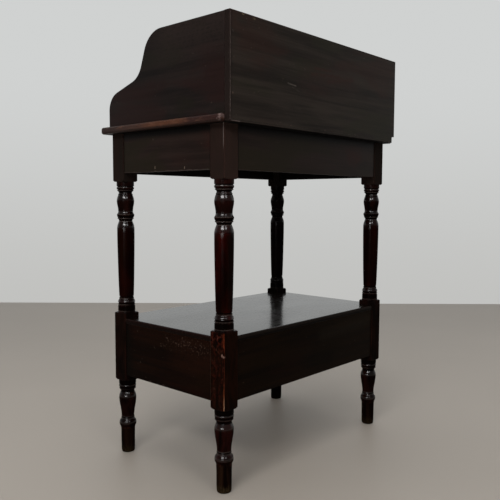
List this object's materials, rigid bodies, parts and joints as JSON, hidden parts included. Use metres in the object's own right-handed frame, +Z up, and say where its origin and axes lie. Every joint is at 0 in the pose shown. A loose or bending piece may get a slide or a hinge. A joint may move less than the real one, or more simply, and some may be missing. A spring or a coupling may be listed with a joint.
{
  "type": "washstand",
  "caption": "Washstand with a high shaped gallery round its top, turned legs, and a boxed low shelf with a drawer beneath it.",
  "frame": {"origin": "on the floor, at the centre of the stand's plan", "axes": "+Z up; +Y to the rear, where the high back panel stands; +X to the right seen from the front"},
  "size_m": [0.666, 0.425, 1],
  "materials": {
    "ebonised_board": "dark stained and polished, worn in places, satin",
    "ebonised_turning": "dark red-brown stain under glossy polish, worn on the edges",
    "worn_nosing": "reddish brown where hands have rubbed the dark stain away, satin",
    "secondary_wood": "bare planed softwood, matt",
    "iron": "dull iron"
  },
  "bodies": {
    "stand": {"leg_rear_right": "ebonised_turning", "leg_rear_left": "ebonised_turning", "leg_front_right": "ebonised_turning", "leg_front_left": "ebonised_turning", "frieze_front": "ebonised_board", "frieze_back": "ebonised_board", "frieze_right": "ebonised_board", "frieze_left": "ebonised_board", "apron_back": "ebonised_board", "apron_right": "ebonised_board", "apron_left": "ebonised_board", "drawer_rail_top": "ebonised_board", "drawer_rail_bottom": "ebonised_board", "shelf": "ebonised_board", "top_board": "ebonised_board", "nosing_front": "worn_nosing", "nosing_right": "worn_nosing", "nosing_left": "worn_nosing", "gallery_back": "ebonised_board", "gallery_right": "ebonised_board", "gallery_left": "ebonised_board", "runner_right": "secondary_wood", "runner_left": "secondary_wood", "guide_right": "secondary_wood", "guide_left": "secondary_wood", "kicker_right": "secondary_wood", "kicker_left": "secondary_wood", "drawer_stops": "secondary_wood", "top_blocks": "secondary_wood", "shelf_blocks": "secondary_wood", "top_screws": "iron", "runner_screws": "iron", "gallery_dowels": "secondary_wood", "panel_nails": "iron"},
    "drawer": {"drawer_front": "ebonised_board", "drawer_side_right": "secondary_wood", "drawer_side_left": "secondary_wood", "drawer_back": "secondary_wood", "drawer_bottom": "secondary_wood", "drawer_knob_right": "ebonised_turning", "drawer_knob_left": "ebonised_turning"}
  },
  "joints": [
    {"name": "drawer_slide", "type": "slide", "parent": "stand", "child": "drawer", "axis": [0, -1, 0], "range_m": [0, 0.24]}
  ]
}
